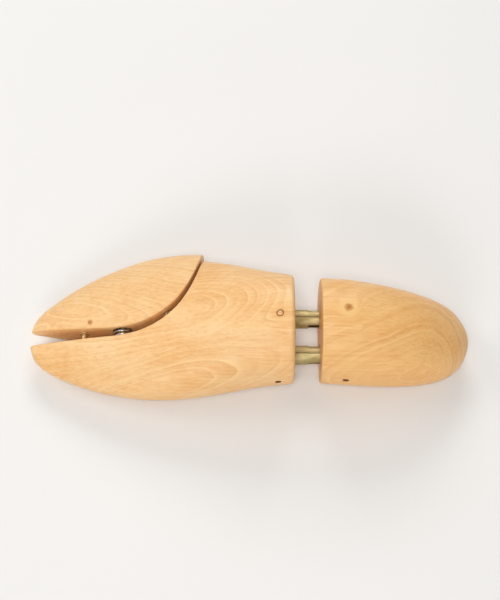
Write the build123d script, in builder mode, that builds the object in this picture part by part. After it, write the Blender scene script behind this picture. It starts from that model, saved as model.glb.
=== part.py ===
from build123d import *

import math
import os

# Wooden shoe tree for a right shoe, about EU 42: a forepart split along its outer side, a heel block,
# and a pair of telescoping spring tubes between them. It stands on its sole. Toe towards -X, heel
# towards +X, inner side of the foot towards -Y. The near tube is the one on the inner side.
# Millimetres.

# ---- driving dimensions ----

TOE_X = -137.9          # tip of the toe
HEEL_X = 136.6          # back of the heel
FORE_BACK_X = 27.2      # flat back face of the forepart
HEEL_FRONT_X = 43.4     # flat front face of the heel block
SPINE_Y = -8.7          # vertical plane midway between the two tubes

TUBE_Z = 20.0           # height of the tube axes
TUBE_OFFSET = 12.1      # each tube axis to the spine
TUBE_Y = {"near": SPINE_Y - TUBE_OFFSET, "far": SPINE_Y + TUBE_OFFSET}
OUTER_TUBE_R = 5.9
OUTER_TUBE_BORE_R = 5.5
OUTER_TUBE_X = (-28.0, 36.6)
INNER_TUBE_R = 5.44
INNER_TUBE_BORE_R = 5.05
INNER_TUBE_X = (-8.0, 94.0)
HEEL_MOUTH_R = 6.1      # wider mouth of each heel bore, which lets the outer tube in
HEEL_MOUTH_DEPTH = 8.0
PLUG_LENGTH = 4.0
PLUG_BOSS_R = 2.9
PLUG_BOSS_LENGTH = 3.0
GLUE_GAP = 0.02         # radial, between a glued or pressed piece and its bore

SLOT_WIDTH = 2.8        # lengthwise slot of each inner tube
SLOT_X = (8.6, 62.0)
SLOT_RISE = {"near": -6.0, "far": 8.0}  # degrees above horizontal, towards -Y, that each slot faces
RIVET_R = 1.25
RIVET_TAIL_R = 4.75     # how near the tube axis each stop rivet reaches
RIVET_SUNK = 0.15       # from the top of the outer tube to the rivet's flat end

CROSS_PIN_R = 1.25
CROSS_PIN_BITE = 0.35   # how deep each cross pin sits in its tubes' walls
CROSS_PIN_FAR_Y = 12.0
FORE_PIN_X = 17.4
FORE_PIN_NEAR_Y = -37.6
HEEL_PIN_X = 58.6
HEEL_PIN_NEAR_Y = -36.2
PIN_MOUTH_R = 1.9       # wider mouth of each cross pin's hole

SPLIT_KERF = 1.0        # gap left when the side piece is pushed home
SPLIT_TRAVEL = 4.4      # outwards, along +Y, from pushed home to the stops

GUIDE_PIN_R = 1.4
GUIDE_HEAD_R = 2.5
GUIDE_HEAD_LENGTH = 1.2
GUIDE_BORE_R = 2.9
GUIDE_BORE_DEPTH = 14.5
GUIDE_RUN_IN = 16.0     # length of each guide pin inside the forepart
GUIDE_PLACES = {"toe": (-103.5, 17.0), "ball": (-51.7, 32.6)}
BUSH_SUNK = {"toe": 0.6, "ball": 2.0}  # from the cut face of the side piece to each bush
BUSH_LENGTH = 4.0
RUNNING_GAP = 0.05      # radial, between a guide pin and its bush

SPRING_PLACE = (-78.8, 25.2)
SPRING_BORE_R = 6.2
SPRING_BORE_DEPTH = 12.0
SPRING_WIRE_R = 0.55
SPLIT_COIL_R = 5.2
SPLIT_COIL_PITCH = 2.4
ROD_RUN_IN = 8.0        # length of the spring rod beyond the bottom of the spring's bore
ROD_REACH = 11.0        # from the forepart's cut face to the rod's tip
TUBE_COIL_R = 3.9
TUBE_COIL_PITCH = 5.7

BACK_EDGE_R = 2.6       # rounding of the forepart's back edge
HEEL_EDGE_R = 1.3
CUT_EDGE_R = 0.8

STAMP_AT = (17.9, -10.2, 62.1)
STAMP_SLOPE = 9.4       # degrees that the instep rises towards the heel at the stamp
STAMP_R = (1.7, 2.15)
STAMP_DEPTH = 0.35

# Stations along the blocks: x; how far the inner side, the crest and the outer side lie from the
# spine; heights of the underside and the crest. Undersides below zero are planed off at the sole.
TOE_CREST = -2.15
FORE_STATIONS = [
    (-137.5, -4.8, TOE_CREST, 0.8, 12.0, 14.2),
    (-136.6, -7.9, TOE_CREST, 4.6, 10.9, 15.3),
    (-134.4, -13.0, TOE_CREST, 9.9, 9.3, 16.6),
    (-130.0, -17.6, TOE_CREST, 15.5, 7.6, 18.1),
    (-122.8, -22.2, TOE_CREST, 21.7, 5.6, 20.2),
    (-112.5, -27.0, -2.0, 29.3, 3.4, 23.2),
    (-98.0, -32.1, -1.5, 37.5, 1.2, 27.6),
    (-82.0, -36.0, -1.0, 44.3, -0.8, 32.6),
    (-65.0, -38.6, -0.5, 49.2, -1.2, 37.6),
    (-48.0, -39.3, 0.0, 51.0, -1.2, 42.6),
    (-30.0, -38.1, 0.0, 50.1, -1.2, 48.4),
    (-12.0, -35.5, 0.0, 45.6, -0.6, 54.8),
    (8.0, -32.8, 0.0, 39.1, 1.4, 60.3),
    (FORE_BACK_X, -31.7, 0.0, 33.5, 4.0, 63.6),
]
HEEL_STATIONS = [
    (HEEL_FRONT_X, -29.9, 0.0, 32.4, -1.2, 64.0),
    (60.0, -31.1, 0.0, 31.4, -1.2, 63.0),
    (75.0, -31.8, -0.3, 29.6, -1.2, 60.5),
    (90.0, -31.6, -0.7, 27.4, -1.2, 56.3),
    (105.0, -30.1, -1.2, 24.7, -1.2, 49.8),
    (115.0, -27.7, -1.6, 22.4, -0.8, 43.6),
    (122.0, -24.7, -1.9, 19.9, 0.2, 38.0),
    (128.0, -20.5, -2.1, 16.2, 2.0, 32.4),
    (131.6, -16.4, -2.2, 12.0, 4.4, 27.8),
    (134.4, -11.6, -2.2, 7.4, 7.2, 23.8),
    (135.9, -7.0, -2.2, 3.0, 10.0, 20.2),
]
TOE_TIP = (TOE_X, SPINE_Y + TOE_CREST, 13.1)
HEEL_TIP = (HEEL_X, SPINE_Y - 2.2, 14.8)
CROWN = 0.62            # fullness of the upper corners of a section; 0.55 would be an ellipse
BELLY = 0.72            # fullness of the lower corners
WIDEST = 0.42           # height of the widest point, as a share of the section's height
SECTIONS = 24           # sections lofted along each block

# The saw cut that frees the side piece, as x and distance from the spine, from toe to outer side.
# Each piece's cut face is eased back at the toe by its own first points.
SPLIT_LINE = [
    (-82.0, -3.5), (-70.5, -2.4), (-61.0, 0.4), (-52.0, 5.3), (-45.0, 11.2), (-38.4, 20.4),
    (-34.0, 30.0), (-31.0, 40.0), (-28.9, 50.0), (-27.3, 60.0),
]
FORE_TOE_CUT = [(-150.0, -3.7), (-120.0, -3.4), (-96.0, -3.2)]
WEDGE_TOE_CUT = [(-150.0, 0.0), (-120.0, -0.7), (-96.0, -2.5)]


# ---- helpers ----

def block_section(x, inner, crest, outer, bottom, top):
    """A block's section square to X, of four curves that meet at its widest and highest points."""
    widest = bottom + WIDEST * (top - bottom)
    corners = [(outer, top, CROWN), (inner, top, CROWN), (inner, bottom, BELLY), (outer, bottom, BELLY)]
    with BuildSketch(Plane.YZ.offset(x)) as section:
        with BuildLine():
            for side, end, fullness in corners:
                Bezier(
                    (SPINE_Y + side, widest),
                    (SPINE_Y + side, widest + fullness * (end - widest)),
                    (SPINE_Y + crest + fullness * (side - crest), end),
                    (SPINE_Y + crest, end),
                )
        make_face()
    return section.sketch


def slope(before, here, after, column):
    """Slope of a smooth curve at one of its points, from the points on either side."""
    rise_in = (here[column] - before[column]) / (here[0] - before[0])
    rise_out = (after[column] - here[column]) / (after[0] - here[0])
    share = (here[0] - before[0]) / (after[0] - before[0])
    return rise_in * (1 - share) + rise_out * share


def block_sections(tip, stations):
    """Sections of a block from its rounded tip to the flat face at the last station, on smooth
    curves through the stations. They are spaced by the square root of their distance from the tip,
    so that they crowd at the rounded end."""
    stations = list(stations)
    tip_x, tip_y, tip_z = tip
    to_face = math.copysign(1, stations[-1][0] - tip_x)
    rows = [(0, tip_y - SPINE_Y, tip_y - SPINE_Y, tip_y - SPINE_Y, tip_z, tip_z)]
    rows += [(math.sqrt(abs(station[0] - tip_x)), *station[1:]) for station in stations]
    rows = [rows[0], *rows, rows[-1]]
    sections = []
    for i in range(1, SECTIONS + 1):
        at = rows[-1][0] * i / SECTIONS
        k = max(k for k in range(1, len(rows) - 2) if rows[k][0] <= at)
        before, start, end, after = rows[k - 1 : k + 3]
        span = end[0] - start[0]
        u = (at - start[0]) / span
        values = []
        for column in range(1, 6):
            rise = (end[column] - start[column]) / span
            leave = slope(before, start, end, column) if before is not start else rise
            arrive = slope(start, end, after, column) if after is not end else rise
            values.append(
                (2 * u**3 - 3 * u**2 + 1) * start[column]
                + (u**3 - 2 * u**2 + u) * span * leave
                + (3 * u**2 - 2 * u**3) * end[column]
                + (u**3 - u**2) * span * arrive
            )
        sections.append(block_section(tip_x + to_face * at**2, *values))
    return sections


def split_y(x):
    """Where the forepart's cut face crosses x, in row coordinates."""
    line = FORE_TOE_CUT + SPLIT_LINE
    for (x0, y0), (x1, y1) in zip(line, line[1:]):
        if x0 <= x <= x1:
            return SPINE_Y + y0 + (y1 - y0) * (x - x0) / (x1 - x0)
    raise ValueError("outside the saw cut")


def slide_plane(place):
    """A plane on the forepart's cut face whose normal is the way the side piece slides."""
    x, z = place
    return Plane(origin=(x, split_y(x), z), x_dir=(1, 0, 0), z_dir=(0, 1, 0))


def outer_side_of_cut(toe_cut):
    """All that lies on the outer side of the saw cut, as seen from above."""
    line = toe_cut + SPLIT_LINE
    x_start, y_start = line[0]
    x_end, y_end = line[-1]
    with BuildPart() as region:
        with BuildSketch(Plane.XY.offset(-5)):
            with BuildLine():
                Spline(*[(x, SPINE_Y + y) for x, y in line])
                Polyline(
                    (x_end, SPINE_Y + y_end),
                    (x_end, 80),
                    (x_start, 80),
                    (x_start, SPINE_Y + y_start),
                )
            make_face()
        extrude(amount=80)
    return region.part


def pin_height(tube_radius):
    """Height of a cross pin that lies across the tops of two tubes and bites into their walls."""
    return TUBE_Z + tube_radius + CROSS_PIN_R - CROSS_PIN_BITE


def rod(plane, radius, start, end):
    """A plain round bar, or the cutter for its bore, along a plane's normal."""
    with BuildPart() as bar:
        with BuildSketch(plane.offset(start)):
            Circle(radius)
        extrude(amount=end - start)
    return bar.part


def cross_hole(x, tube_radius, near_y):
    """Cutter for a cross pin's hole, with its wider mouth on the inner side of the foot."""
    across = Plane(origin=(x, 0, pin_height(tube_radius)), z_dir=(0, 1, 0))
    narrow = rod(across, CROSS_PIN_R + GLUE_GAP, near_y - 1, CROSS_PIN_FAR_Y + 0.5)
    return narrow + rod(across, PIN_MOUTH_R, near_y - 10, near_y - 0.3)


def tube_plane(side, x):
    """A plane square to one tube at x, with its normal towards the heel."""
    return Plane(origin=(x, TUBE_Y[side], TUBE_Z), x_dir=(0, 1, 0), z_dir=(1, 0, 0))


def slot_plane(side, x):
    """A plane through one tube's axis whose normal points out of the inner tube's slot."""
    rise = math.radians(SLOT_RISE[side])
    return Plane(
        origin=(x, TUBE_Y[side], TUBE_Z),
        x_dir=(1, 0, 0),
        z_dir=(0, -math.cos(rise), math.sin(rise)),
    )


def coil_spring(plane, pitch, length, radius):
    """A wire coil that starts at a plane and follows its normal."""
    with BuildPart() as spring:
        with BuildLine():
            coil = Helix(pitch, length, radius, center=plane.origin, direction=plane.z_dir)
        with BuildSketch(Plane(origin=coil @ 0, z_dir=coil % 0)):
            Circle(SPRING_WIRE_R)
        sweep()
    return spring.part


def save(part, label):
    part.label = label
    export_step(part, f"parts/{label}.step")


# ---- wooden blocks ----

with BuildPart() as last:
    loft([Vertex(*TOE_TIP), *block_sections(TOE_TIP, FORE_STATIONS)])
    fillet(last.faces().sort_by(Axis.X)[-1].edges(), BACK_EDGE_R)

with BuildPart() as forepart_body:
    add(last.part)
    add(outer_side_of_cut(FORE_TOE_CUT), mode=Mode.SUBTRACT)
    fillet(forepart_body.faces().filter_by(GeomType.EXTRUSION).edges(), CUT_EDGE_R)
    split(bisect_by=Plane.XY, keep=Keep.TOP)
    for side in TUBE_Y:
        with BuildSketch(tube_plane(side, FORE_BACK_X)):
            Circle(OUTER_TUBE_R + GLUE_GAP)
        extrude(amount=OUTER_TUBE_X[0] - FORE_BACK_X, mode=Mode.SUBTRACT)
    add(cross_hole(FORE_PIN_X, OUTER_TUBE_R, FORE_PIN_NEAR_Y), mode=Mode.SUBTRACT)
    for place in GUIDE_PLACES.values():
        add(rod(slide_plane(place), GUIDE_PIN_R + GLUE_GAP, -GUIDE_RUN_IN, 3), mode=Mode.SUBTRACT)
    add(rod(slide_plane(SPRING_PLACE), SPRING_BORE_R, -SPRING_BORE_DEPTH, 3), mode=Mode.SUBTRACT)
    add(
        rod(slide_plane(SPRING_PLACE), GUIDE_PIN_R + GLUE_GAP, -SPRING_BORE_DEPTH - ROD_RUN_IN, 0),
        mode=Mode.SUBTRACT,
    )
    stamp_tilt = math.radians(STAMP_SLOPE)
    with BuildSketch(Plane(origin=STAMP_AT, z_dir=(-math.sin(stamp_tilt), 0, math.cos(stamp_tilt)))):
        Circle(STAMP_R[1])
        Circle(STAMP_R[0], mode=Mode.SUBTRACT)
    extrude(amount=STAMP_DEPTH, both=True, mode=Mode.SUBTRACT)

with BuildPart() as side_wedge:
    add(last.part)
    add(Pos(0, SPLIT_KERF, 0) * outer_side_of_cut(WEDGE_TOE_CUT), mode=Mode.INTERSECT)
    fillet(side_wedge.faces().filter_by(GeomType.EXTRUSION).edges(), CUT_EDGE_R)
    split(bisect_by=Plane.XY, keep=Keep.TOP)
    for place in GUIDE_PLACES.values():
        add(rod(slide_plane(place), GUIDE_BORE_R, -3, SPLIT_KERF + GUIDE_BORE_DEPTH), mode=Mode.SUBTRACT)
    add(rod(slide_plane(SPRING_PLACE), SPRING_BORE_R, -3, SPLIT_KERF + SPRING_BORE_DEPTH), mode=Mode.SUBTRACT)

with BuildPart() as heel_block:
    loft([Vertex(*HEEL_TIP), *block_sections(HEEL_TIP, reversed(HEEL_STATIONS))])
    fillet(heel_block.faces().sort_by(Axis.X)[0].edges(), HEEL_EDGE_R)
    split(bisect_by=Plane.XY, keep=Keep.TOP)
    for side in TUBE_Y:
        with BuildSketch(tube_plane(side, HEEL_FRONT_X)):
            Circle(INNER_TUBE_R + GLUE_GAP)
        extrude(amount=INNER_TUBE_X[1] - HEEL_FRONT_X, mode=Mode.SUBTRACT)
        with BuildSketch(tube_plane(side, HEEL_FRONT_X)):
            Circle(HEEL_MOUTH_R)
        extrude(amount=HEEL_MOUTH_DEPTH, mode=Mode.SUBTRACT)
    add(cross_hole(HEEL_PIN_X, INNER_TUBE_R, HEEL_PIN_NEAR_Y), mode=Mode.SUBTRACT)

os.makedirs("parts", exist_ok=True)
save(forepart_body.part, "forepart_body")
save(Pos(0, SPLIT_TRAVEL, 0) * side_wedge.part, "side_wedge")
save(heel_block.part, "heel_block")

# ---- telescoping spring tubes ----

for side in TUBE_Y:
    with BuildPart() as outer_tube:
        with BuildSketch(tube_plane(side, OUTER_TUBE_X[0])):
            Circle(OUTER_TUBE_R)
            Circle(OUTER_TUBE_BORE_R, mode=Mode.SUBTRACT)
        extrude(amount=OUTER_TUBE_X[1] - OUTER_TUBE_X[0])
        add(cross_hole(FORE_PIN_X, OUTER_TUBE_R, FORE_PIN_NEAR_Y), mode=Mode.SUBTRACT)
        add(rod(slot_plane(side, SLOT_X[0] + RIVET_R + 0.1), RIVET_R + GLUE_GAP, 4, 7), mode=Mode.SUBTRACT)
    save(outer_tube.part, f"outer_tube_{side}")

    with BuildPart() as inner_tube:
        with BuildSketch(tube_plane(side, INNER_TUBE_X[0])):
            Circle(INNER_TUBE_R)
            Circle(INNER_TUBE_BORE_R, mode=Mode.SUBTRACT)
        extrude(amount=INNER_TUBE_X[1] - INNER_TUBE_X[0])
        with BuildSketch(slot_plane(side, (SLOT_X[0] + SLOT_X[1]) / 2)):
            SlotOverall(SLOT_X[1] - SLOT_X[0], SLOT_WIDTH)
        extrude(amount=OUTER_TUBE_R, mode=Mode.SUBTRACT)
        add(cross_hole(HEEL_PIN_X, INNER_TUBE_R, HEEL_PIN_NEAR_Y), mode=Mode.SUBTRACT)
    save(inner_tube.part, f"inner_tube_{side}")

    with BuildPart() as outer_plug:
        with BuildSketch(tube_plane(side, OUTER_TUBE_X[0])):
            Circle(OUTER_TUBE_BORE_R - GLUE_GAP)
        extrude(amount=PLUG_LENGTH)
        with BuildSketch(tube_plane(side, OUTER_TUBE_X[0] + PLUG_LENGTH)):
            Circle(PLUG_BOSS_R)
        extrude(amount=PLUG_BOSS_LENGTH)
        chamfer(outer_plug.faces().sort_by(Axis.X)[-1].edges(), 0.5)
    save(outer_plug.part, f"outer_plug_{side}")

    with BuildPart() as inner_plug:
        with BuildSketch(tube_plane(side, INNER_TUBE_X[1] - PLUG_LENGTH)):
            Circle(INNER_TUBE_BORE_R - GLUE_GAP)
        extrude(amount=PLUG_LENGTH)
        with BuildSketch(tube_plane(side, INNER_TUBE_X[1] - PLUG_LENGTH)):
            Circle(PLUG_BOSS_R)
        extrude(amount=-PLUG_BOSS_LENGTH)
        chamfer(inner_plug.faces().sort_by(Axis.X)[0].edges(), 0.5)
    save(inner_plug.part, f"inner_plug_{side}")

    with BuildPart() as stop_rivet:
        with BuildSketch(slot_plane(side, SLOT_X[0] + RIVET_R + 0.1).offset(RIVET_TAIL_R)):
            Circle(RIVET_R)
        extrude(amount=OUTER_TUBE_R - RIVET_TAIL_R - RIVET_SUNK)
    save(stop_rivet.part, f"stop_rivet_{side}")

    spring_start = OUTER_TUBE_X[0] + PLUG_LENGTH + SPRING_WIRE_R + 0.1
    spring_end = INNER_TUBE_X[1] - PLUG_LENGTH - SPRING_WIRE_R - 0.1
    spring_length = spring_end - spring_start
    tube_spring = coil_spring(tube_plane(side, spring_start), TUBE_COIL_PITCH, spring_length, TUBE_COIL_R)
    save(tube_spring, f"tube_spring_{side}")

# ---- cross pins that lock the tubes in the wood ----

for label, x, tube_radius, near_y in (
    ("fore_cross_pin", FORE_PIN_X, OUTER_TUBE_R, FORE_PIN_NEAR_Y),
    ("heel_cross_pin", HEEL_PIN_X, INNER_TUBE_R, HEEL_PIN_NEAR_Y),
):
    across = Plane(origin=(x, 0, pin_height(tube_radius)), z_dir=(0, 1, 0))
    with BuildPart() as cross_pin:
        add(rod(across, CROSS_PIN_R, near_y, CROSS_PIN_FAR_Y))
        chamfer(cross_pin.edges().filter_by(GeomType.CIRCLE), 0.3)
    save(cross_pin.part, label)

# ---- guide pins, bushes and spring of the side piece ----

open_gap = SPLIT_KERF + SPLIT_TRAVEL
for name, place in GUIDE_PLACES.items():
    plane = slide_plane(place)
    bush_start = open_gap + BUSH_SUNK[name]
    head_start = bush_start + BUSH_LENGTH + 0.1
    with BuildPart() as guide_pin:
        add(rod(plane, GUIDE_PIN_R, -GUIDE_RUN_IN, head_start))
        add(rod(plane, GUIDE_HEAD_R, head_start, head_start + GUIDE_HEAD_LENGTH))
    save(guide_pin.part, f"guide_pin_{name}")

    with BuildPart() as guide_bush:
        with BuildSketch(plane.offset(bush_start)):
            Circle(GUIDE_BORE_R - GLUE_GAP)
            Circle(GUIDE_PIN_R + RUNNING_GAP, mode=Mode.SUBTRACT)
        extrude(amount=BUSH_LENGTH)
    save(guide_bush.part, f"guide_bush_{name}")

spring_plane = slide_plane(SPRING_PLACE)
with BuildPart() as spring_rod:
    add(rod(spring_plane, GUIDE_PIN_R, -SPRING_BORE_DEPTH - ROD_RUN_IN, ROD_REACH))
    fillet(spring_rod.edges().sort_by(Axis.Y)[-1], 0.9)
save(spring_rod.part, "spring_rod")

split_start = -SPRING_BORE_DEPTH + SPRING_WIRE_R + 0.1
split_end = open_gap + SPRING_BORE_DEPTH - SPRING_WIRE_R - 0.1
split_spring = coil_spring(
    spring_plane.offset(split_start), SPLIT_COIL_PITCH, split_end - split_start, SPLIT_COIL_R
)
save(split_spring, "split_spring")
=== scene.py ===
import math
from collections import namedtuple

import bmesh
import bpy
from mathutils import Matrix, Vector


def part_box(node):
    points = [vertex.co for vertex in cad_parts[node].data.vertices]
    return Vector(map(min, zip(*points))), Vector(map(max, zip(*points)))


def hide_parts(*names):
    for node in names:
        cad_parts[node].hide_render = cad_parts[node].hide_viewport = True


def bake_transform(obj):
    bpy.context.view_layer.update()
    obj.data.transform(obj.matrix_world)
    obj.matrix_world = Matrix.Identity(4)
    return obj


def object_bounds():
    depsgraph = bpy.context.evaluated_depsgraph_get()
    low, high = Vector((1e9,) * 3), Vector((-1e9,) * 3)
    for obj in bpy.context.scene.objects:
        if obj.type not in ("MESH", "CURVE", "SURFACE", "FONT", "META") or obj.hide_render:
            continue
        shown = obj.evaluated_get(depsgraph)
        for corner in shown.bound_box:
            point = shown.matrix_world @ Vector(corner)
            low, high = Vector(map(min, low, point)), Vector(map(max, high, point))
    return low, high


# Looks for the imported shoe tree: pale waxed hardwood blocks, dulled brass tubes, bright pins and
# sprung coils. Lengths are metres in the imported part's frame, and a number times MM is millimetres.
# Textures are laid out in millimetres. Colours are linear red, green and blue.

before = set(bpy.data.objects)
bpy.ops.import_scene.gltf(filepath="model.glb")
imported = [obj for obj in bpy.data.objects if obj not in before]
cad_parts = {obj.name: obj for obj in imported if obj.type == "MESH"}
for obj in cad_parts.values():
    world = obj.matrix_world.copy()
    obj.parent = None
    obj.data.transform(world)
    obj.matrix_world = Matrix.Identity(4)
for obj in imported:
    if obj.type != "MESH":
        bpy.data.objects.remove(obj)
cad_low, cad_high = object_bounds()

MM = 0.001

# pale, middle and dark tones of the wood, the stains on it, and the brown of the painted shade at the pin
# holes' mouths
FRESH_WOOD = ((0.88, 0.59, 0.29), (0.83, 0.46, 0.17), (0.70, 0.32, 0.098))
WARM_WOOD = ((0.87, 0.535, 0.215), (0.83, 0.425, 0.132), (0.68, 0.295, 0.078))
PORE_BROWN = (0.42, 0.21, 0.08)
KNOT_BROWN = (0.56, 0.25, 0.065)
KNOT_HEART = (0.30, 0.10, 0.03)
STAIN_AND_SHADE_BROWN = (0.20, 0.085, 0.035)

# bright and dull brass, steel, and the dirt on them
TUBE_BRASS = ((0.60, 0.51, 0.27), (0.40, 0.325, 0.15))
PIN_BRASS = ((0.86, 0.71, 0.40), (0.60, 0.44, 0.20))
BRASS_SPECK = (0.18, 0.12, 0.05)
SEAM_SHADE = (0.10, 0.07, 0.03)
PLAIN_STEEL = (0.62, 0.60, 0.57)
SPRING_STEEL = (0.68, 0.65, 0.61)
STEEL_SPECK = (0.12, 0.10, 0.08)

# paper and light
PAPER = ((0.80, 0.792, 0.78), (0.82, 0.812, 0.80))
ROOM_WHITE = (1.0, 0.985, 0.965, 1)
SIDE_WHITE = (1.0, 0.99, 0.975)
INNER_WHITE = (1.0, 0.985, 0.96)

# An eye is the middle of a ring figure, whose rings are drawn out along a line: behind times in
# the trail's direction, and ahead times the other way.
Eye = namedtuple("Eye", "at trail behind ahead")

# A knot has a radius and a swelling that bends the rings round it over its reach, in millimetres,
# and shares of colour for its brown core and for the pale halo round that.
Knot = namedtuple("Knot", "at radius reach swell core halo")

# A mark is a dark round patch from an inner to an outer radius in millimetres: a stamped ring, or
# painted shade at the mouth of a pin's hole. Its plane has a 1 for each of the two axes that it's
# round in, and a 0 for the axis that it's seen along. It goes right through the wood along that
# axis, so it shows on the far side as well.
Mark = namedtuple("Mark", "at plane inner outer share")


# ---- places on the CAD part ----

def inside(node, x, y, z):
    """The point this many millimetres from the lowest corner of a CAD node's box."""
    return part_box(node)[0] + MM * Vector((x, y, z))


def centre(node):
    low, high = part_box(node)
    return (low + high) / 2


# ---- node graphs ----

class Graph:
    """One material's nodes, added by short calls that return sockets."""

    def __init__(self, name):
        self.material = bpy.data.materials.new(name)
        self.material.use_nodes = True
        self.nodes = self.material.node_tree.nodes
        self.shader = next(n for n in self.nodes if n.type == "BSDF_PRINCIPLED")
        coordinates = self.nodes.new("ShaderNodeTexCoord")
        self.place = self.vector("MULTIPLY", coordinates.outputs["Object"], (1 / MM,) * 3)

    def fill(self, socket, value):
        """Links a socket to the input, or writes a plain value into it."""
        if isinstance(value, bpy.types.NodeSocket):
            self.material.node_tree.links.new(value, socket)
        else:
            socket.default_value = value

    def number(self, operation, *values):
        node = self.nodes.new("ShaderNodeMath")
        node.operation = operation
        for socket, value in zip(node.inputs, values):
            self.fill(socket, value)
        return node.outputs[0]

    def square(self, value):
        return self.number("POWER", value, 2.0)

    def vector(self, operation, *values):
        node = self.nodes.new("ShaderNodeVectorMath")
        node.operation = operation
        for socket, value in zip(node.inputs, values):
            self.fill(socket, value)
        return node.outputs["Value" if operation in ("DOT_PRODUCT", "LENGTH") else "Vector"]

    def offset(self, place, point):
        """From a point of the part to a place, in millimetres."""
        return self.vector("SUBTRACT", place, tuple(point / MM))

    def noise(self, place, size, detail, roughness, seed):
        """Noise from 0 to 1 whose lumps are about size millimetres, which may differ by axis."""
        steps = (size,) * 3 if isinstance(size, (int, float)) else size
        scaled = self.vector("MULTIPLY", place, tuple(1 / step for step in steps))
        node = self.nodes.new("ShaderNodeTexNoise")
        node.noise_dimensions = "4D"
        self.fill(node.inputs["Vector"], scaled)
        node.inputs["W"].default_value = seed
        return self.noise_result(node, detail, roughness)

    def ripple(self, value, stretch, detail, roughness, seed):
        """Smooth noise from 0 to 1 along one number; stretch is how much of it one swing takes."""
        node = self.nodes.new("ShaderNodeTexNoise")
        node.noise_dimensions = "1D"
        self.fill(node.inputs["W"], self.number("MULTIPLY_ADD", value, 1 / stretch, seed))
        return self.noise_result(node, detail, roughness)

    def noise_result(self, node, detail, roughness):
        node.inputs["Scale"].default_value = 1.0
        node.inputs["Detail"].default_value = detail
        node.inputs["Roughness"].default_value = roughness
        return node.outputs["Fac"]

    def span(self, value, low, high, out_low=0.0, out_high=1.0, smooth=False):
        """Maps low..high to out_low..out_high and clamps outside."""
        node = self.nodes.new("ShaderNodeMapRange")
        node.interpolation_type = "SMOOTHSTEP" if smooth else "LINEAR"
        for socket, x in zip(node.inputs, (value, low, high, out_low, out_high)):
            self.fill(socket, x)
        return node.outputs["Result"]

    def blend(self, share, first, second):
        node = self.nodes.new("ShaderNodeMix")
        node.data_type = "RGBA"
        node.clamp_factor = True
        self.fill(node.inputs["Factor"], share)
        for name, colour in (("A", first), ("B", second)):
            socket = next(s for s in node.inputs if s.name == name and s.type == "RGBA")
            self.fill(socket, (*colour, 1) if isinstance(colour, tuple) else colour)
        return next(s for s in node.outputs if s.type == "RGBA")

    def bump(self, height, depth):
        """A bump of this many millimetres for a height of 1."""
        node = self.nodes.new("ShaderNodeBump")
        node.inputs["Strength"].default_value = 1.0
        node.inputs["Distance"].default_value = depth * MM
        self.fill(node.inputs["Height"], height)
        self.fill(self.shader.inputs["Normal"], node.outputs["Normal"])

    def set(self, **values):
        """Fills the shader's own sockets; underscores stand for spaces."""
        for name, value in values.items():
            self.fill(self.shader.inputs[name.replace("_", " ")], value)


def times(factor, tone):
    return tuple(factor * part for part in tone)


# ---- wood ----

def grain_warp(graph, seed):
    """How far the grain wanders at each place, in millimetres: a slow drift and a quick quiver."""
    quiver_reach = 1.3
    warp = graph.nodes.new("ShaderNodeCombineXYZ")
    for k, (socket, drift_reach) in enumerate(zip(warp.inputs, (5.0, 2.4, 2.4))):
        drift = graph.noise(graph.place, (80, 34, 34), 0.0, 0.5, seed + k)
        drift = graph.span(drift, 0, 1, -drift_reach, drift_reach)
        quiver = graph.noise(graph.place, (22, 8, 8), 2.0, 0.6, seed + k + 0.5)
        quiver = graph.span(quiver, 0, 1, -quiver_reach, quiver_reach)
        graph.fill(socket, graph.number("ADD", drift, quiver))
    return warp.outputs[0]


def eye_distance(graph, place, eye):
    """Distance from the eye of a ring figure, shorter along its trail than across it."""
    trail = tuple(Vector(eye.trail).normalized())
    offset = graph.offset(place, eye.at)
    along = graph.vector("DOT_PRODUCT", offset, trail)
    sideways = graph.vector("SUBTRACT", offset, graph.vector("MULTIPLY", trail, along))
    across = graph.vector("LENGTH", sideways)
    behind = graph.number("MULTIPLY", graph.number("MAXIMUM", along, 0.0), 1 / eye.behind)
    ahead = graph.number("MULTIPLY", graph.number("MINIMUM", along, 0.0), 1 / eye.ahead)
    lengthwise = graph.number("ADD", behind, ahead)
    return graph.number("SQRT", graph.number("ADD", graph.square(lengthwise), graph.square(across)))


def ring_count(graph, place, eyes, knots, ring, calm):
    """Growth rings counted outwards from the nearest eye, and bent round the knots."""
    merge = 7.0
    distance = None
    for eye in eyes:
        here = eye_distance(graph, place, eye)
        distance = here if distance is None else graph.number("SMOOTH_MIN", distance, here, merge)
    for knot in knots:
        away = graph.vector("LENGTH", graph.offset(place, knot.at))
        away = graph.square(graph.number("MULTIPLY", away, 1 / knot.reach))
        swell = graph.number("EXPONENT", graph.number("MULTIPLY", away, -1.0))
        distance = graph.number("ADD", distance, graph.number("MULTIPLY", swell, knot.swell))
    softened = graph.number("SQRT", graph.number("ADD", graph.square(distance), calm**2))
    return graph.number("MULTIPLY", graph.number("SUBTRACT", softened, calm), 1 / ring)


def growth_lines(graph, count, seed):
    """The dark edge that each ring deepens to, and the thin pale line where the next ring starts.

    Both come and go, from ring to ring and from place to place."""
    by_ring = graph.span(graph.ripple(count, 1.9, 1.0, 0.5, seed + 40), 0.36, 0.62, 0.15, 1.0)
    by_place = graph.noise(graph.place, (40, 15, 15), 2.0, 0.55, seed + 11)
    by_place = graph.span(by_place, 0.34, 0.62, 0.2, 1.0)
    strength = graph.number("MULTIPLY", by_ring, by_place)
    turned = graph.number("FRACT", count)
    edge = graph.square(graph.span(turned, 0.10, 0.92))
    edge = graph.number("MULTIPLY", edge, graph.span(turned, 0.90, 1.0, 1.0, 0.0))
    from_line = graph.number("ABSOLUTE", graph.number("SUBTRACT", turned, 0.06))
    line = graph.span(from_line, 0.02, 0.22, 1.0, 0.0)
    return graph.number("MULTIPLY", edge, strength), graph.number("MULTIPLY", line, strength)


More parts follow.
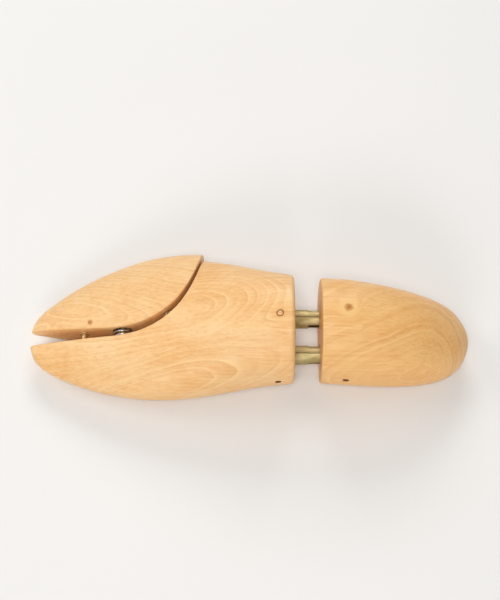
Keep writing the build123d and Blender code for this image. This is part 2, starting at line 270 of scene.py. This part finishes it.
def paint_knot(graph, colour, knot, pale, seed):
    """A ragged knot: a pale halo, a brown core and a darker heart."""
    raggedness = 1.6
    ragged = graph.noise(graph.place, 1.6, 3.0, 0.65, seed)
    ragged = graph.span(ragged, 0, 1, -raggedness, raggedness)
    away = graph.number("ADD", graph.vector("LENGTH", graph.offset(graph.place, knot.at)), ragged)
    for full_to, gone_at, share, tone in (
        (1.4, 2.9, knot.halo, pale),
        (0.6, 1.1, knot.core, KNOT_BROWN),
        (0.10, 0.5, 0.8 * knot.core, KNOT_HEART),
    ):
        cover = graph.span(away, full_to * knot.radius, gone_at * knot.radius, share, 0.0, smooth=True)
        colour = graph.blend(cover, colour, tone)
    return colour


def paint_mark(graph, colour, mark):
    """A round dark patch: painted shade at the mouth of a pin's hole, or a stamped ring."""
    softness = 0.25
    flat = graph.vector("MULTIPLY", graph.offset(graph.place, mark.at), mark.plane)
    middle = (mark.outer + mark.inner) / 2
    half_width = (mark.outer - mark.inner) / 2
    away = graph.number("ABSOLUTE", graph.number("SUBTRACT", graph.vector("LENGTH", flat), middle))
    cover = graph.span(away, half_width, half_width + softness, mark.share, 0.0, smooth=True)
    return graph.blend(cover, colour, STAIN_AND_SHADE_BROWN)


def wood(name, tones, eyes, ring, calm, knots, marks, seed):
    """Pale waxed hardwood: growth rings round each eye, fibre streaks, small knots, and dark marks: stamps,
    and painted shade at the pin holes.

    Tones are its pale, middle and dark colours. Ring is the width of one ring, and calm how far from
    an eye the rings are wider than that, in millimetres."""
    graph = Graph(name)
    place = graph.place
    pale, middle, dark = tones
    warp = grain_warp(graph, seed)
    count = ring_count(graph, graph.vector("ADD", place, warp), eyes, knots, ring, calm)
    band = graph.ripple(count, 1.3, 3.0, 0.6, seed)
    edge, line = growth_lines(graph, count, seed)

    # the fibres run along X, and wander to the sides with the grain: each texture has its lumps'
    # size along X, Y and Z, its detail, its roughness and its seed
    grain = graph.vector("ADD", place, graph.vector("MULTIPLY", warp, (0, 0.8, 0.8)))
    broad = graph.noise(grain, (110, 6.5, 6.5), 2.0, 0.5, seed + 3)
    streaks = graph.noise(grain, (48, 1.15, 1.15), 2.0, 0.55, seed + 4)
    hairs = graph.noise(grain, (12, 0.36, 0.36), 2.0, 0.6, seed + 5)
    pores = graph.span(graph.noise(grain, (3.6, 0.22, 0.22), 1.0, 0.5, seed + 6), 0.68, 0.80)
    cloud = graph.noise(place, (34, 24, 24), 2.0, 0.5, seed + 8)
    shimmer = graph.noise(place, (5, 14, 14), 2.0, 0.5, seed + 9)

    # each row lays a tone over the wood: one share of it where the texture is low or lower, and
    # another where it is high or higher
    colour = graph.blend(graph.span(cloud, 0.34, 0.66), pale, middle)
    for texture, low, high, share_low, share_high, tone in (
        (broad, 0.52, 0.78, 0.0, 0.34, dark),
        (broad, 0.24, 0.46, 0.50, 0.0, pale),
        (streaks, 0.50, 0.72, 0.0, 0.50, dark),
        (streaks, 0.30, 0.50, 0.60, 0.0, pale),
        (hairs, 0.50, 0.78, 0.0, 0.42, dark),
        (shimmer, 0.40, 0.68, 0.0, 0.24, pale),
        (band, 0.50, 0.76, 0.0, 0.28, dark),
        (band, 0.26, 0.48, 0.40, 0.0, pale),
        (edge, 0.0, 1.0, 0.0, 0.30, times(0.9, dark)),
        (line, 0.0, 1.0, 0.0, 0.62, times(1.06, pale)),
        (pores, 0.0, 1.0, 0.0, 0.26, PORE_BROWN),
    ):
        colour = graph.blend(graph.span(texture, low, high, share_low, share_high), colour, tone)
    for knot in knots:
        colour = paint_knot(graph, colour, knot, pale, seed)
    # the marks are stamps, and painted shade at the mouths of pin holes
    for mark in marks:
        colour = paint_mark(graph, colour, mark)

    relief = graph.number("MULTIPLY", hairs, 0.55)
    for texture, height in ((streaks, 0.45), (pores, -0.9), (edge, -0.3)):
        relief = graph.number("MULTIPLY_ADD", texture, height, relief)
    gloss = graph.span(graph.number("MULTIPLY_ADD", edge, 0.4, streaks), 0.3, 1.0, 0.42, 0.56)
    graph.bump(relief, 0.03)
    graph.set(Base_Color=colour, Roughness=gloss, IOR=1.46)
    graph.set(Coat_Weight=0.10, Coat_Roughness=0.25)
    return graph.material


# ---- metals ----

def brass(name, tones, seed, seams=()):
    """Drawn brass gone dull: lengthwise lines, cloudy tarnish, and a hairline seam along a tube."""
    graph = Graph(name)
    place = graph.place
    bright, dull = tones
    lines = graph.noise(place, (240, 0.45, 0.45), 2.0, 0.5, seed)
    scratches = graph.noise(place, (14, 0.2, 0.2), 2.0, 0.6, seed + 1)
    tarnish = graph.noise(place, (12, 5, 5), 3.0, 0.55, seed + 2)
    specks = graph.span(graph.noise(place, 0.9, 2.0, 0.6, seed + 3), 0.66, 0.76)
    colour = graph.blend(graph.span(tarnish, 0.36, 0.66), bright, dull)
    colour = graph.blend(graph.span(lines, 0.48, 0.75, 0.0, 0.35), colour, dull)
    colour = graph.blend(graph.number("MULTIPLY", specks, 0.4), colour, BRASS_SPECK)
    for seam in seams:
        # a seam runs the tube's whole length, so X doesn't count, and Z only tells top from bottom
        away = graph.vector("LENGTH", graph.vector("MULTIPLY", graph.offset(place, seam), (0, 1, 0.05)))
        crease = graph.span(away, 0.12, 0.34, 0.85, 0.0, smooth=True)
        colour = graph.blend(crease, colour, SEAM_SHADE)
    scuffs = graph.span(scratches, 0.4, 0.8, 0.0, 0.08)
    rough = graph.number("ADD", graph.span(tarnish, 0.3, 0.7, 0.50, 0.62), scuffs)
    graph.bump(graph.number("MULTIPLY_ADD", scratches, 0.5, lines), 0.003)
    graph.set(Base_Color=colour, Metallic=1.0, Roughness=rough)
    return graph.material


def steel(name, tone, seed, scratch_size):
    """Bright drawn steel with fine scratches, faint oil stains and a few dark specks."""
    graph = Graph(name)
    place = graph.place
    scratches = graph.noise(place, scratch_size, 2.0, 0.6, seed)
    stain = graph.noise(place, 3.0, 3.0, 0.55, seed + 1)
    specks = graph.span(graph.noise(place, 0.5, 2.0, 0.6, seed + 2), 0.66, 0.76)
    colour = graph.blend(graph.span(stain, 0.42, 0.70, 0.0, 0.7), tone, times(0.45, tone))
    colour = graph.blend(graph.number("MULTIPLY", specks, 0.5), colour, STEEL_SPECK)
    rough = graph.span(graph.number("ADD", scratches, stain), 0.7, 1.3, 0.22, 0.42)
    graph.bump(scratches, 0.006)
    graph.set(Base_Color=colour, Metallic=1.0, Roughness=rough)
    return graph.material


# ---- looks of the CAD nodes ----

def coat(node, material):
    """Gives a CAD node one material all over."""
    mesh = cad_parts[node].data
    mesh.materials.clear()
    mesh.materials.append(material)


def pin_hole_shade(pin):
    """Painted shade: a dark disc over the mouth of a cross pin's hole, which runs along Y."""
    return Mark(at=centre(pin), plane=(1, 0, 1), inner=0.0, outer=1.9, share=0.92)


def finish_forepart():
    """Long rings that trail to the toe, from an eye high on the instep and one low on the inner side."""
    fore = "forepart_body"
    eyes = [
        Eye(at=inside(fore, 97, 46, 44.5), trail=(-0.95, -0.08, -0.30), behind=7.0, ahead=2.3),
        Eye(at=inside(fore, 92, 6, 27), trail=(-0.93, -0.20, -0.30), behind=8.0, ahead=4.0),
    ]
    stamped_at = inside(fore, 155.8, 37.8, 62.1)
    stamp = Mark(at=stamped_at, plane=(1, 1, 0), inner=1.7, outer=2.15, share=0.8)
    # the pin hole's dark mouth is painted shade, and the stamp is a brand on the wood
    marks = [pin_hole_shade("fore_cross_pin"), stamp]
    look = wood("wood_forepart", FRESH_WOOD, eyes, ring=2.7, calm=5.0, knots=[], marks=marks, seed=3.0)
    coat(fore, look)


def finish_wedge():
    """Long rings that trail to the toe, a small figure at the toe itself, and a knot near the cut."""
    wedge = "side_wedge"
    eyes = [
        Eye(at=inside(wedge, 26, 15, 24), trail=(-0.95, 0.25, -0.20), behind=12.0, ahead=5.0),
        Eye(at=inside(wedge, 7, 4, 13), trail=(-0.8, -0.5, -0.2), behind=1.6, ahead=1.5),
    ]
    knots = [
        Knot(at=inside(wedge, 38, 5.2, 27.5), radius=2.0, reach=4.5, swell=2.0, core=1.0, halo=0.3),
    ]
    look = wood("wood_wedge", FRESH_WOOD, eyes, ring=2.7, calm=4.0, knots=knots, marks=[], seed=17.0)
    coat(wedge, look)


def finish_heel():
    """Broad rings round one eye, and on top near the front a large knot with a small one beside it."""
    heel = "heel_block"
    eyes = [Eye(at=inside(heel, 60, 5, 31), trail=(-1, 0, -0.05), behind=2.1, ahead=0.75)]
    knots = [
        Knot(at=inside(heel, 15.5, 33.8, 63.5), radius=3.0, reach=7.0, swell=7.0, core=0.95, halo=1.0),
        Knot(at=inside(heel, 21, 22, 60), radius=1.0, reach=4.0, swell=2.0, core=0.7, halo=0.8),
    ]
    # the pin hole's dark mouth is painted shade
    marks = [pin_hole_shade("heel_cross_pin")]
    look = wood("wood_heel", WARM_WOOD, eyes, ring=3.7, calm=5.0, knots=knots, marks=marks, seed=29.0)
    coat(heel, look)


def finish_metal():
    seam_offset = Vector((0, -0.7 * MM, 0))
    seams = []
    for node in ("outer_tube_near", "outer_tube_far"):
        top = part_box(node)[1].z
        seams.append(Vector((0, centre(node).y, top)) + seam_offset)
    tube_brass = brass("tube_brass", TUBE_BRASS, seed=41.0, seams=seams)
    pin_brass = brass("pin_brass", PIN_BRASS, seed=47.0)
    plain_steel = steel("steel", PLAIN_STEEL, seed=53.0, scratch_size=(5, 0.2, 0.2))
    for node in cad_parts:
        if "tube_" in node and "spring" not in node:
            coat(node, tube_brass)
        elif node.startswith(("stop_rivet", "guide_", "spring_rod")):
            coat(node, pin_brass)
        elif node.endswith("_pin") or "plug" in node:
            coat(node, plain_steel)


# ---- springs ----

WIRE_R = 0.55 * MM
CLOSED_PITCH = 1.03 * 2 * WIRE_R
POINTS_PER_TURN = 36
POINTS_ROUND_WIRE = 12


def coil(name, start, end, radius, turns, closed_turns, material):
    """A round-wire coil from start to end, with closed turns at both ends, as one mesh."""
    axis = (end - start).normalized()
    side = axis.cross(Vector((0, 0, 1))).normalized()
    up = axis.cross(side)
    length = (end - start).length
    open_pitch = (length - 2 * closed_turns * CLOSED_PITCH) / (turns - 2 * closed_turns)
    last = int(turns * POINTS_PER_TURN)

    def travel(turn):
        """Distance along the axis after this many turns: wire by wire in the closed ends."""
        if turn < closed_turns:
            return turn * CLOSED_PITCH
        if turn > turns - closed_turns:
            return length - (turns - turn) * CLOSED_PITCH
        return closed_turns * CLOSED_PITCH + (turn - closed_turns) * open_pitch

    def point(i):
        turn = i / POINTS_PER_TURN
        angle = 2 * math.pi * turn
        return start + axis * travel(turn) + radius * (side * math.cos(angle) + up * math.sin(angle))

    line = [point(i) for i in range(last + 1)]
    made = bmesh.new()
    rings = []
    for i, here in enumerate(line):
        ahead = (line[min(i + 1, last)] - line[max(i - 1, 0)]).normalized()
        outward = (here - start) - axis * (here - start).dot(axis)
        outward = (outward - ahead * outward.dot(ahead)).normalized()
        third = ahead.cross(outward)
        rings.append([
            made.verts.new(here + WIRE_R * (outward * math.cos(t) + third * math.sin(t)))
            for t in (2 * math.pi * k / POINTS_ROUND_WIRE for k in range(POINTS_ROUND_WIRE))
        ])
    for first, second in zip(rings, rings[1:]):
        for k in range(POINTS_ROUND_WIRE):
            m = (k + 1) % POINTS_ROUND_WIRE
            made.faces.new((first[k], first[m], second[m], second[k]))
    made.faces.new(reversed(rings[0]))
    made.faces.new(rings[-1])
    bmesh.ops.recalc_face_normals(made, faces=made.faces)
    mesh = bpy.data.meshes.new(name)
    made.to_mesh(mesh)
    made.free()
    for polygon in mesh.polygons:
        polygon.use_smooth = len(polygon.vertices) == 4
    mesh.materials.append(material)
    spring = bpy.data.objects.new(name, mesh)
    bpy.context.scene.collection.objects.link(spring)
    return spring


def spring_ends(node, axis):
    """The middles of a CAD spring's first and last turns. Its axis is 0 for X or 1 for Y."""
    low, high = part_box(node)
    start, end = centre(node), centre(node)
    start[axis] = low[axis] + WIRE_R
    end[axis] = high[axis] - WIRE_R
    return start, end


def add_springs():
    """Coils with closed ends in place of the plain CAD ones."""
    bright = steel("spring_steel", SPRING_STEEL, seed=61.0, scratch_size=(0.6, 0.6, 0.6))

    start, end = spring_ends("split_spring", axis=1)
    split = coil("split_coil", start, end, 5.2 * MM, turns=12.75, closed_turns=1.0, material=bright)
    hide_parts("split_spring")
    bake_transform(split)

    for side in ("near", "far"):
        node = f"tube_spring_{side}"
        start, end = spring_ends(node, axis=0)
        name = f"tube_coil_{side}"
        tube = coil(name, start, end, 3.9 * MM, turns=22.5, closed_turns=1.5, material=bright)
        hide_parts(node)
        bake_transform(tube)


# ---- floor, light and camera ----

def lay_floor():
    """A pale sheet of studio paper just under the object."""
    half_size, squares = 3.0, 24
    sheet = bmesh.new()
    bmesh.ops.create_grid(sheet, x_segments=squares, y_segments=squares, size=half_size)
    mesh = bpy.data.meshes.new("floor")
    sheet.to_mesh(mesh)
    sheet.free()
    floor = bpy.data.objects.new("floor", mesh)
    floor.location.z = cad_low.z - 0.05 * MM
    bpy.context.scene.collection.objects.link(floor)

    graph = Graph("studio_paper")
    tone = graph.noise(graph.place, 160, 2.0, 0.5, 2.0)
    graph.bump(graph.noise(graph.place, 1.2, 3.0, 0.6, 4.0), 0.02)
    # the lamps don't reach the far paper, so it glows a little to stay as pale as the rest
    glow_from, glow_full, glow_strength = 450, 3000, 0.60
    away = graph.vector("LENGTH", graph.vector("MULTIPLY", graph.place, (1, 1, 0)))
    glow = graph.span(away, glow_from, glow_full, 0.0, glow_strength, smooth=True)
    graph.set(Base_Color=graph.blend(tone, *PAPER), Roughness=0.95)
    graph.set(Emission_Color=ROOM_WHITE, Emission_Strength=glow)
    mesh.materials.append(graph.material)


def lamp(name, toward, distance, size, share, colour=(1, 1, 1)):
    """A soft lamp in one direction from the object. A share of 1 makes paper square to it white."""
    light = bpy.data.lights.new(name, "AREA")
    light.shape = "RECTANGLE"
    light.size, light.size_y = size
    light.energy = share * (math.pi * distance) ** 2
    light.color = colour
    holder = bpy.data.objects.new(name, light)
    direction = Vector(toward).normalized()
    holder.location = (cad_low + cad_high) / 2 + distance * direction
    holder.rotation_euler = (-direction).to_track_quat("-Z", "Y").to_euler()
    holder.visible_camera = False
    bpy.context.scene.collection.objects.link(holder)


def light_studio():
    """Even studio light: a pale room, a lamp near the camera, one up on the left, one at each side."""
    # the room lights the object less than it shows to the camera
    room_light, room_seen = 0.30, 0.90
    world = bpy.data.worlds.new("studio")
    world.use_nodes = True
    nodes, links = world.node_tree.nodes, world.node_tree.links
    background = nodes["Background"]
    background.inputs["Color"].default_value = ROOM_WHITE
    seen = nodes.new("ShaderNodeMapRange")
    seen.inputs["To Min"].default_value = room_light
    seen.inputs["To Max"].default_value = room_seen
    links.new(nodes.new("ShaderNodeLightPath").outputs["Is Camera Ray"], seen.inputs["Value"])
    links.new(seen.outputs["Result"], background.inputs["Strength"])
    bpy.context.scene.world = world

    lamp("front", toward=(-0.05, -0.375, 0.927), distance=1.8, size=(0.5, 0.5), share=0.38)
    lamp("left", toward=(-0.75, 0.25, 0.70), distance=1.8, size=(0.8, 0.8), share=0.20, colour=SIDE_WHITE)
    lamp("outer", toward=(0.0, 0.83, 0.55), distance=1.8, size=(1.0, 0.6), share=0.42, colour=SIDE_WHITE)
    lamp("inner", toward=(-0.2, -0.85, 0.45), distance=3.0, size=(1.8, 0.8), share=0.31, colour=INNER_WHITE)
    bpy.context.scene.view_settings.view_transform = "Standard"
    bpy.context.scene.view_settings.look = "None"


def place_camera():
    """Looks down at the tree from beside its inner edge, with the tubes a little below the middle."""
    distance, elevation = 0.8, math.radians(68)
    tilt_up, turn_right = math.radians(1.66), math.radians(0.045)
    tubes = [centre("outer_tube_near"), centre("outer_tube_far")]
    target = Vector((0, (tubes[0].y + tubes[1].y) / 2, tubes[0].z))
    data = bpy.data.cameras.new("camera")
    data.lens, data.sensor_width = 76.9, 36.0
    camera = bpy.data.objects.new("camera", data)
    camera.location = target + distance * Vector((0, -math.cos(elevation), math.sin(elevation)))
    camera.rotation_euler = (math.pi / 2 - elevation + tilt_up, 0, -turn_right)
    bpy.context.scene.collection.objects.link(camera)
    bpy.context.scene.camera = camera


finish_forepart()
finish_wedge()
finish_heel()
finish_metal()
add_springs()
lay_floor()
light_studio()
place_camera()
